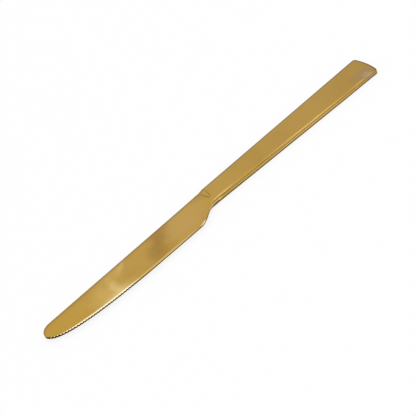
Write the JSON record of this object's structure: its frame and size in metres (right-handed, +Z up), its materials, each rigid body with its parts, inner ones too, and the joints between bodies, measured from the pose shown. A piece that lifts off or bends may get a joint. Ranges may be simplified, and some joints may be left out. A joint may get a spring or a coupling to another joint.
{
  "type": "table knife",
  "caption": "Gold table knife with a round-nosed serrated blade and a slim flared handle with a crowned butt, for spreading and cutting at table.",
  "frame": {"origin": "on the surface that the knife lies on, under the middle of its box", "axes": "+X along the knife from the tip to the butt, +Y from the cutting edge to the spine, +Z up through the handle's thickness"},
  "size_m": [0.23, 0.019, 0.0042],
  "materials": {
    "gold_blade": "stainless steel with a polished gold coating",
    "gold_handle": "stainless steel sheet with a satin gold coating",
    "brazing_metal": "brazing metal ground flush and coated with the rest",
    "cement": "hard filled resin cement, unseen inside the handle"
  },
  "bodies": {
    "root": {"blade": "gold_blade", "bolster_braze": "brazing_metal", "handle_upper_half": "gold_handle", "handle_lower_half": "gold_handle", "handle_seam_braze": "brazing_metal", "tang_cement": "cement"}
  },
  "joints": []
}
